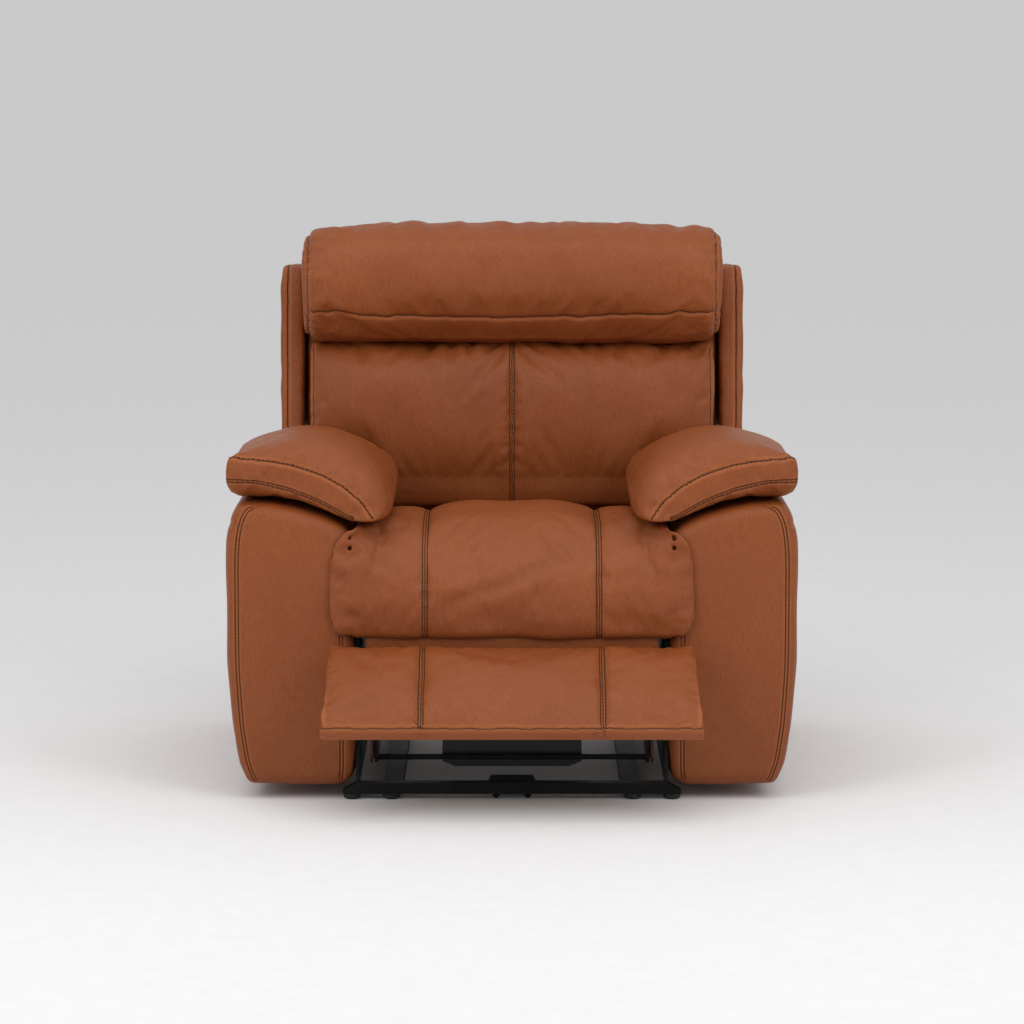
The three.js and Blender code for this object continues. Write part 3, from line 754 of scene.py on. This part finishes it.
def seat_cushion():
    seat = loft("seat_leather", [seat_ring(x) for x in np.linspace(-SEAT_HALF, SEAT_HALF, 25)])
    merge(seat, seat_ear(-1), seat_ear(1))
    remesh(seat, VOXEL, 5)

    def held(p):
        x, depth, height = np.abs(p[:, 0]) / MM, (p[:, 1] - FRONT) / MM, p[:, 2] / MM
        hidden = (depth > 30) & ((height < 440) & (depth < 540)) | (depth > 548) | (height < 312)
        seam = np.abs(x - SEAT_SEAM) < 3.5
        against_arm = (x > 262) & (depth > -3)
        return hidden | seam | against_arm | (x > 320)

    inflate(seat, held, 4.0, 0.016)
    subdivide(seat)
    points = coords(seat)
    under_pad = ease(np.abs(points[:, 0]), 0.19, 0.214)
    points[:, 2] += (np.minimum(points[:, 2], SEAT_UNDER_PAD) - points[:, 2]) * under_pad
    set_coords(seat, points)
    displace(seat, 0.0016 * waves(points, 0.16, 3) + 0.0006 * waves(points, 0.05, 4, (1.6, 1, 1)))
    show = lambda p: p.z / MM > 294 and not (p.y - FRONT > 0.02 and p.z < 0.40)
    lines = [cut_line(seat, chair_point(s * SEAT_SEAM, 0, 400), (1, 0, 0), show) for _, s in SIDES]
    for i, line in enumerate(lines):
        pucker(seat, line, 0.034, 0.0007, 0.02, 11 + i)
    for ends, deep in (
        (((-140, -20, 352), (-30, 20, 385)), 0.0026), (((-60, -20, 372), (70, 20, 420)), 0.0032),
        (((-20, 0, 398), (140, 60, 458)), 0.003), (((-150, -20, 330), (-90, 0, 350)), 0.002),
        (((40, 20, 446), (120, 40, 468)), 0.0018), (((-316, -20, 455), (-276, -20, 434)), 0.0026),
        (((-318, -20, 345), (-268, -20, 330)), 0.0026), (((276, -20, 428), (316, -20, 450)), 0.0026),
        (((268, -20, 332), (318, -20, 352)), 0.0026), (((-318, -20, 400), (-286, -20, 394)), 0.0018),
        (((-250, -20, 440), (-185, -20, 405)), 0.0016), (((185, -20, 396), (255, -20, 432)), 0.0016),
    ):
        crease(seat, [chair_point(*end) for end in ends], deep, 0.012)
    groove(seat, lines, 0.0028, 0.008, gap=SEAT_GAP)
    sew_beside(seat, lines, SEAT_GAP, "seat_stitches", "seat")
    upholster(seat, "seat", "seat_cushion")
    flap = block("seat_flap", (-262, 4, 265), (262, 10, 297), chair_point)
    tail = block("seat_tail", (-254, 540, 392), (254, 638, 426), chair_point)
    for lining, voxel in ((flap, 0.003), (tail, 0.006)):
        remesh(lining, voxel, 2)
        plain_leather(lining, "seat")


def sew_beside(piece, lines, gap, name, body):
    """Stitches on the outer lines of seams."""
    thread = Thread()
    for line in lines:
        for offset in (-gap, gap):
            thread.sew(piece, line, offset)
    thread.finish(name, THREAD, body)


# ---- Footrest -------------------------------------------------------------------------------

FOOT_SEAM = 159
LIP_TOP = 43             # the leather band along the board's edge reaches this far out
FOOT_OUT = FOOT_FRAME.to_3x3() @ Vector((0, 0, 1))


def footrest_point(x, along, out):
    """The footrest is slightly wider at its lip than at its hinge."""
    return foot_point(x * (0.964 + 0.036 * along / 228), along, out)


def footrest_pad():
    profile = [
        (8.5, 15), (8, 27), (8, 39), (12, 48), (22, 57), (44, 64), (75, 66), (115, 66), (160, 62),
        (195, 55), (220, 48), (230, 45), (232, 42), (232, 16), (228, 14.3), (12, 14.3),
    ]
    pad = prism("footrest_leather", profile, 333, footrest_point)
    remesh(pad, 0.0045, 3)
    local = FOOT_FRAME.inverted()

    def in_foot(points):
        turned = points @ np.array(local.to_3x3()).T + np.array(local.translation)
        return turned[:, 0] / MM, -turned[:, 1] / MM, turned[:, 2] / MM

    def held(p):
        x, along, out = in_foot(p)
        seam = np.abs(np.abs(x) - FOOT_SEAM) < 3.0
        rim = (out < LIP_TOP + 1) & ((along > 222) | (along < 16) | (np.abs(x) > 314))
        return (out < 20) | (seam & (out > 40)) | rim

    inflate(pad, held, 4.0, 0.013)
    subdivide(pad)
    top = lambda p: (local @ p).z / MM > LIP_TOP + 1
    lines = [cut_line(pad, foot_point(s * FOOT_SEAM, 0, 0), (1, 0, 0), top) for _, s in SIDES]
    border = cut_line(pad, foot_point(0, 0, LIP_TOP), FOOT_OUT)
    for i, line in enumerate(lines):
        pucker(pad, line, 0.03, 0.0006, 0.018, 21 + i)
    pucker(pad, border, 0.05, 0.0005, 0.03, 23, lambda p: in_foot(p)[2] > LIP_TOP)
    points = coords(pad)
    soft = ease(in_foot(points)[2], LIP_TOP, LIP_TOP + 8)
    swell = 0.0015 * waves(points, 0.12, 5) + 0.0006 * waves(points, 0.04, 6, (1.6, 1, 1))
    displace(pad, soft * swell)
    for ends, deep in (
        (((-300, 210, 80), (-235, 168, 80)), 0.0022), (((-290, 60, 80), (-225, 120, 80)), 0.0016),
        (((300, 210, 80), (240, 172, 80)), 0.002), (((230, 90, 80), (300, 40, 80)), 0.0016),
    ):
        crease(pad, [foot_point(*end) for end in ends], deep, 0.012, -FOOT_OUT)
    groove(pad, lines, 0.0026, 0.008, gap=SEAT_GAP)
    groove(pad, [border], 0.0022, 0.0035)
    sew_beside(pad, lines, SEAT_GAP, "footrest_stitches", "footrest")
    upholster(pad, "footrest", "footrest_pad")


# ---- Arms -----------------------------------------------------------------------------------

ARM_INNER = 0.2802       # the arm's leather keeps outside this, clear of the back's brackets
ARM_GAP = 0.003          # half the distance between the arm's two sewn lines
PAD_GAP = 0.0026         # the same on the arm pad's front band

def mirrored(piece, name):
    """A copy of a piece, turned over to the chair's other side."""
    twin = new_object(name, piece.data.copy())
    points = coords(twin)
    points[:, 0] *= -1
    set_coords(twin, points)
    twin.data.flip_normals()
    return twin


def right_hand(name, node):
    """The left node's shape, turned over to the right."""
    source = copy_node("source", node)
    twin = mirrored(source, name)
    bpy.data.objects.remove(source)
    return twin


def arm_body():
    arm = right_hand("arm_leather_right", "arm_body_left")
    remesh(arm, 0.009, 3)
    subdivide(arm)
    points = coords(arm)
    # Painted shade: the leather is darker towards the arm's foot, where less light falls.
    add_shade(arm, -0.16 * (1 - ease(points[:, 2], 0.05, 0.42)))
    displace(arm, 0.0013 * waves(points, 0.22, 7) + 0.0005 * waves(points, 0.07, 8, (1, 1, 2)))
    points = coords(arm)
    behind_front = points[:, 1] > FRONT + 0.03
    points[:, 0] = np.where(behind_front, np.maximum(points[:, 0], ARM_INNER), points[:, 0])
    set_coords(arm, points)
    outer = laid(arm, [chair_point(x, -5, z) for x, z in (
        (462, 24), (476, 64), (486, 137), (492, 250), (492, 405), (489, 468), (482, 506),
        (470, 530), (462, 537))])
    inner = laid(arm, [chair_point(304, -5, z) for z in (28, 110, 200, 302)])
    side = laid(arm, [chair_point(520, depth, 500) for depth in (4, 200, 400, 600, 800)])
    rear = laid(arm, [chair_point(x, 825, z) for x, z in (
        (470, 30), (488, 200), (488, 400), (476, 470))])
    groove(arm, [outer, inner], 0.0018, 0.006, gap=ARM_GAP, middle=False)
    groove(arm, [side, rear], 0.0016, 0.005)
    return arm, [outer, inner]


PAD_UNDERSIDE = 0.5015   # the arm pad stays above this height
PAD_OUTLINE = [
    (486, 540), (505, 557), (509, 578), (503, 604), (470, 619), (424, 634), (381, 641), (328, 634),
    (268, 605), (228, 570), (216, 540), (215, 517), (224, 504), (285, 503), (339, 519), (380, 531),
    (430, 539), (460, 541),
]
PAD_FRONT = [
    (510, 574), (510, 586), (510, 602), (504, 622), (485, 620), (464, 617), (430, 612), (394, 606),
    (330, 585), (282, 554), (259, 530), (244, 508), (262, 503), (289, 506), (316, 523), (362, 545),
    (407, 561), (464, 573),
]


def pad_ring(depth, share, drop=0.0, inset=0.0):
    """The pad's outline: share goes from the sewn front band to the full shape behind it."""
    front, full = np.array(PAD_FRONT, float), np.array(PAD_OUTLINE, float)
    ring = front + (full - front) * share
    middle = ring.mean(axis=0)
    ring = middle + (ring - middle) * (1 - inset)
    ring[:, 1] -= drop * ease(ring[:, 1], 520, 641)
    return [chair_point(x, depth, z) for x, z in smooth_path(ring, 3)]


def arm_pad():
    stations = [
        (-5, 0.0, 0, 0.1), (-4, 0.0, 0, 0.02), (0, 0.08, 0, 0.0), (8, 0.4, 0, 0.0), (20, 0.66, 0, 0.0),
        (45, 0.86, 0, 0.0), (90, 0.97, 0, 0.0), (150, 1, 0, 0.0), (250, 1, 4, 0.0), (400, 1, 19, 0.0),
        (482, 1, 27, 0.0), (508, 1, 29, 0.03), (516, 1, 31, 0.12),
    ]
    pad = loft("arm_pad_leather_right", [pad_ring(*station) for station in stations])
    remesh(pad, 0.005, 2)
    seam_at = lambda points: [chair_point(x, -6, z) for x, z in points]
    upper_line = laid(pad, seam_at([
        (508, 623), (485, 620), (464, 617), (430, 612), (394, 606), (330, 585), (282, 554), (259, 530),
        (244, 508)]))
    lower_line = laid(pad, seam_at([
        (505, 575), (464, 573), (407, 561), (362, 545), (316, 523), (285, 504)]))

    def held(p):
        x, depth, height = p[:, 0] / MM, (p[:, 1] - FRONT) / MM, p[:, 2] / MM
        under = (height < 540) & (x > 290) & (depth > 20)
        sewn = np.minimum(nearest(p, upper_line, 0.004)[0], nearest(p, lower_line, 0.004)[0]) < 0.0035
        return under | sewn | (x < 217) & (height < 530)

    inflate(pad, held, 3.5, 0.009)
    subdivide(pad)
    points = coords(pad)
    points[:, 2] = np.maximum(points[:, 2], PAD_UNDERSIDE)
    set_coords(pad, points)
    displace(pad, 0.0014 * waves(points, 0.13, 9) + 0.0005 * waves(points, 0.045, 10))
    pucker(pad, upper_line, 0.036, 0.0011, 0.03, 31)
    groove(pad, [upper_line], 0.0026, 0.005)
    groove(pad, [lower_line], 0.0028, 0.006, gap=PAD_GAP, middle=False)
    return pad, [upper_line, lower_line]


def seat_switch(arm):
    """Draws the arm's side in around the switch panel, so that the panel stands in a shallow well."""
    low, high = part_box("switch_panel")
    points = coords(arm)
    outside = np.maximum(np.maximum(low.y - points[:, 1], points[:, 1] - high.y),
                         np.maximum(low.z - points[:, 2], points[:, 2] - high.z))
    well = (1 - ease(outside, 0.002, 0.009)) * (points[:, 0] > 0.45)
    sunk = np.minimum(points[:, 0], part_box("button_open")[0].x - 0.003)
    rim = 0.0012 * np.exp(-((outside - 0.012) / 0.005) ** 2) * (points[:, 0] > 0.45)
    points[:, 0] += (sunk - points[:, 0]) * well + rim
    set_coords(arm, points)


def arms():
    arm, arm_lines = arm_body()
    pad, (upper_line, lower_line) = arm_pad()
    pieces = {
        "right": (arm, pad),
        "left": (mirrored(arm, "arm_leather_left"), mirrored(pad, "arm_pad_leather_left")),
    }
    seat_switch(arm)
    for word, side in SIDES:
        body, cushion = pieces[word]
        flip = np.array([side, 1, 1])
        sew_beside(body, [line * flip for line in arm_lines], ARM_GAP, f"arm_stitches_{word}", "base")
        thread = Thread(0.0062, 0.0008, 0.0085)
        thread.sew(cushion, upper_line * flip, 0.0012)
        for offset in (-PAD_GAP, PAD_GAP):
            thread.sew(cushion, lower_line * flip, offset)
        thread.finish(f"arm_pad_stitches_{word}", THREAD, "base")
        upholster(body, "base", f"arm_body_{word}")
        upholster(cushion, "base", f"arm_pad_{word}")


# ---- Back -----------------------------------------------------------------------------------

BACK_INVERSE = BACK_FRAME.inverted()
BACK_UP = BACK_FRAME.to_3x3() @ Vector((0, 0, 1))
BACK_GAP = 0.0042        # from the middle of the back cushion's seam to its outer lines
PANEL_GAP = 0.004        # half the distance between the rear panel's two sewn lines


def back_local(points):
    """Points measured as if the back stood plumb, in millimetres."""
    turned = points @ np.array(BACK_INVERSE.to_3x3()).T + np.array(BACK_INVERSE.translation)
    turned += np.array(BACK_PIVOT)
    return turned[:, 0] / MM, (turned[:, 1] - FRONT) / MM, turned[:, 2] / MM


def depth_of(point):
    return back_local(np.array([point]))[1][0]


def lower_back_ring(x, foot):
    """The lower cushion's outline, down to a foot height, rolling back at its sides."""
    side = 30 * (abs(x) / 388) ** 8
    profile = [
        (646, foot + 2), (648, 600), (650, 748), (634, 758), (608, 757), (583, 744), (568, 718),
        (561, 680), (558, 630), (560, 580), (566, max(530, foot + 8)), (582, foot + 1), (610, foot),
    ]
    seam_highlight = [(depth + side * ease(650 - depth, 0, 60), height) for depth, height in profile]
    return [back_point(x, depth, height) for depth, height in smooth_path(seam_highlight, 3)]


def lower_back():
    wide = np.concatenate([[-388, -384, -374], np.linspace(-350, 350, 15), [374, 384, 388]])
    cushion = loft("lower_back_leather", [lower_back_ring(x, 553) for x in wide])
    narrow = np.linspace(-270, 270, 11)
    merge(cushion, loft("lower_back_foot", [lower_back_ring(x, 446) for x in narrow]))
    remesh(cushion, VOXEL, 4)

    def held(p):
        x, depth, height = back_local(p)
        return (depth > 632) | (np.abs(x) < 3.5) | (height < 500) | (np.abs(x) > 380)

    inflate(cushion, held, 4.0, 0.014)
    subdivide(cushion)
    points = coords(cushion)
    displace(cushion, 0.0016 * waves(points, 0.15, 12) + 0.0007 * waves(points, 0.06, 13, (1, 1, 2.4)))
    front = lambda p: depth_of(p) < 612
    middle = cut_line(cushion, back_point(0, 0, 600), (1, 0, 0), front)
    top = cut_line(cushion, back_point(0, 0, 748), BACK_UP, lambda p: depth_of(p) < 640)
    ends = [cut_line(cushion, back_point(s * 382, 0, 600), (1, 0, 0), front) for _, s in SIDES]
    pucker(cushion, top, 0.052, 0.003, 0.032, 42)
    pucker(cushion, middle, 0.04, 0.0006, 0.02, 41)
    for i, line in enumerate(ends):
        pucker(cushion, line, 0.036, 0.001, 0.02, 43 + i)
    random = np.random.default_rng(44)
    for x in (-150, -118, -92, -60, -38, 34, 58, 90, 120, 148):
        high = 726 - random.uniform(0, 30)
        low = high - random.uniform(60, 120)
        drift = random.uniform(-8, 8)
        ends_at = [back_point(x, 556, high), back_point(x + drift, 556, low)]
        crease(cushion, ends_at, 0.0014, 0.011)
    # Painted shade: the cushion's lower part is darker, where the seat and arms shade it.
    add_shade(cushion, -0.25 * (1 - ease(back_local(coords(cushion))[2], 480, 600)))
    groove(cushion, [middle], 0.0026, 0.007, gap=BACK_GAP)
    groove(cushion, ends, 0.0024, 0.005)
    sew_beside(cushion, [middle], BACK_GAP, "lower_back_stitches", "back")
    upholster(cushion, "back", "lower_back_cushion")
    apron = block("back_apron", (-258, 645, 364), (258, 652.5, 470), back_point)
    remesh(apron, 0.003, 2)
    plain_leather(apron, "back")


def pillow_ring(x):
    """The pillow's outline, a little smaller towards its rounded ends."""
    end = float(ease(abs(x), 372, 399))
    profile = [
        (650, 765), (653, 850), (652, 930), (640, 966), (606, 981), (566, 982), (532, 966), (512, 938),
        (505, 900), (505, 860), (509, 826), (518, 798), (534, 776), (562, 760), (600, 753), (632, 755),
    ]
    dome = 1 + 0.05 * (1 - (x / 398) ** 2) - 0.09 * float(ease(abs(x), 220, 370))
    shrunk = [(600 + (depth - 600) * (1 - 0.16 * end),
               868 + (height - 868) * (1 - 0.16 * end) * (dome if height > 868 else 1))
              for depth, height in profile]
    return [back_point(x, depth, height) for depth, height in smooth_path(shrunk, 3)]


def pillow():
    across = np.concatenate([[-398, -395, -389, -380, -370], np.linspace(-350, 350, 13),
                             [370, 380, 389, 395, 398]])
    cushion = loft("pillow_leather", [pillow_ring(x) for x in across])
    remesh(cushion, 0.0055, 3)

    def held(p):
        x, depth, height = back_local(p)
        return (depth > 640) | (np.abs(x) > 390) | (height < 762)

    inflate(cushion, held, 4.0, 0.01)
    subdivide(cushion)
    points = coords(cushion)
    displace(cushion, 0.0018 * waves(points, 0.17, 14) + 0.0007 * waves(points, 0.06, 15, (1, 1, 1.8)))
    lower = laid(cushion, [back_point(x, 500, 785 + 20 * (x / 388) ** 2)
                           for x in np.linspace(-388, 388, 15)])
    upper = laid(cushion, [back_point(x, 575, 1000) for x in np.linspace(-380, 380, 15)])
    show = lambda p: depth_of(p) < 640
    ends = [cut_line(cushion, back_point(s * 389, 0, 900), (1, 0, 0), show) for _, s in SIDES]
    pucker(cushion, upper, 0.064, 0.002, 0.035, 52)
    pucker(cushion, lower, 0.05, 0.0005, 0.03, 51)
    for i, line in enumerate(ends):
        pucker(cushion, line, 0.024, 0.0012, 0.022, 53 + i)
    for side in (-1, 1):
        for high, low in ((950, 944), (930, 916), (868, 850), (850, 838)):
            ends_at = [back_point(side * 384, 500, low), back_point(side * 352, 500, high)]
            crease(cushion, ends_at, 0.0016, 0.008)
    groove(cushion, [lower], 0.003, 0.005)
    groove(cushion, ends, 0.0026, 0.0045)
    thread = Thread()
    thread.sew(cushion, lower, 0.004)
    for line in ends:
        thread.sew(cushion, line, 0.0035)
    thread.finish("pillow_stitches", THREAD, "back")
    upholster(cushion, "back", "head_pillow")


def back_wings():
    wing = right_hand("wing_leather_right", "back_wing_left")
    remesh(wing, 0.006, 8)
    subdivide(wing)
    points = coords(wing)
    displace(wing, 0.0011 * waves(points, 0.12, 16) + 0.0005 * waves(points, 0.05, 17))
    line = laid(wing, [back_point(433, depth, z) for depth, z in (
        (610, 572), (618, 680), (628, 800), (634, 890), (650, 915), (760, 915), (868, 912), (885, 880),
        (885, 700), (885, 600))])
    groove(wing, [line], 0.0022, 0.004)
    pieces = {"right": wing, "left": mirrored(wing, "wing_leather_left")}
    for word, side in SIDES:
        thread = Thread()
        thread.sew(pieces[word], line * np.array([side, 1, 1]), 0.0012)
        thread.finish(f"wing_stitches_{word}", THREAD, "back")
        upholster(pieces[word], "back", f"back_wing_{word}")


def back_shell():
    shell = block("shell_leather", (-396, 656, 590), (396, 876, 903), back_point)
    merge(shell, block("shell_neck", (-249, 699, 331), (249, 874, 620), back_point),
          block("shell_skirt", (-396, 652, 570), (396, 692, 610), back_point))
    remesh(shell, 0.009, 8)
    subdivide(shell)
    points = coords(shell)
    displace(shell, 0.0012 * waves(points, 0.2, 18) + 0.0005 * waves(points, 0.07, 19))
    panel = laid(shell, [back_point(x, 890, z) for x, z in (
        (-228, 350), (228, 350), (232, 606), (376, 612), (374, 886), (-374, 886), (-376, 612),
        (-232, 606))], closed=True)
    groove(shell, [panel], 0.0024, 0.006, gap=PANEL_GAP, middle=False)
    sew_beside(shell, [panel], PANEL_GAP, "shell_stitches", "back")
    upholster(shell, "back", "back_shell")


# ---- Stage ----------------------------------------------------------------------------------

CAMERA_DISTANCE = 7.093  # in front of the arms
CAMERA_HEIGHT = 1.4467
CAMERA_PITCH = 7.443     # degrees below level
CAMERA_LENS = 141.74
FLOOR_HALF = 500         # metres, so that the floor reaches the horizon
WORLD_STRENGTH = 0.68


def camera():
    eye = bpy.data.objects.new("camera", bpy.data.cameras.new("camera"))
    bpy.context.scene.collection.objects.link(eye)
    eye.location = (0, FRONT - CAMERA_DISTANCE, CAMERA_HEIGHT)
    eye.rotation_euler = (math.radians(90 - CAMERA_PITCH), 0, 0)
    eye.data.lens = CAMERA_LENS
    eye.data.sensor_width = 36
    eye.data.clip_end = 2000
    bpy.context.scene.camera = eye


def area_light(name, place, target, size, power):
    lamp = bpy.data.objects.new(name, bpy.data.lights.new(name, "AREA"))
    bpy.context.scene.collection.objects.link(lamp)
    lamp.data.shape = "RECTANGLE"
    lamp.data.size, lamp.data.size_y = size
    lamp.data.energy = power
    lamp.location = place
    lamp.rotation_mode = "QUATERNION"
    lamp.rotation_quaternion = (Vector(target) - Vector(place)).to_track_quat("-Z", "Y")


def stage():
    half = FLOOR_HALF
    corners = [(-half, -half, 0), (half, -half, 0), (half, half, 0), (-half, half, 0)]
    floor = new_object("floor", mesh_from("floor", corners, [(0, 1, 2, 3)]))
    paper = plain_material("floor", (0.84, 0.84, 0.84), 0.8, 0.0, 300.0, 0.00002, 0.02)
    floor.data.materials.append(paper)
    world = bpy.data.worlds.new("studio")
    bpy.context.scene.world = world
    world.use_nodes = True
    background = world.node_tree.nodes["Background"]
    background.inputs["Color"].default_value = (1, 1, 1, 1)
    background.inputs["Strength"].default_value = WORLD_STRENGTH
    middle = (0, 0, 0.55)
    area_light("top_light", (0, -1.3, 3.2), middle, (3.4, 2.0), 30)
    area_light("left_light", (-2.4, -3.0, 2.7), middle, (1.4, 1.8), 30)
    area_light("right_light", (2.4, -3.0, 2.7), middle, (1.4, 1.8), 30)
    bpy.context.scene.view_settings.view_transform = "Standard"


camera()
stage()
dress_cad_nodes()
seat_cushion()
footrest_pad()
arms()
lower_back()
pillow()
back_wings()
back_shell()
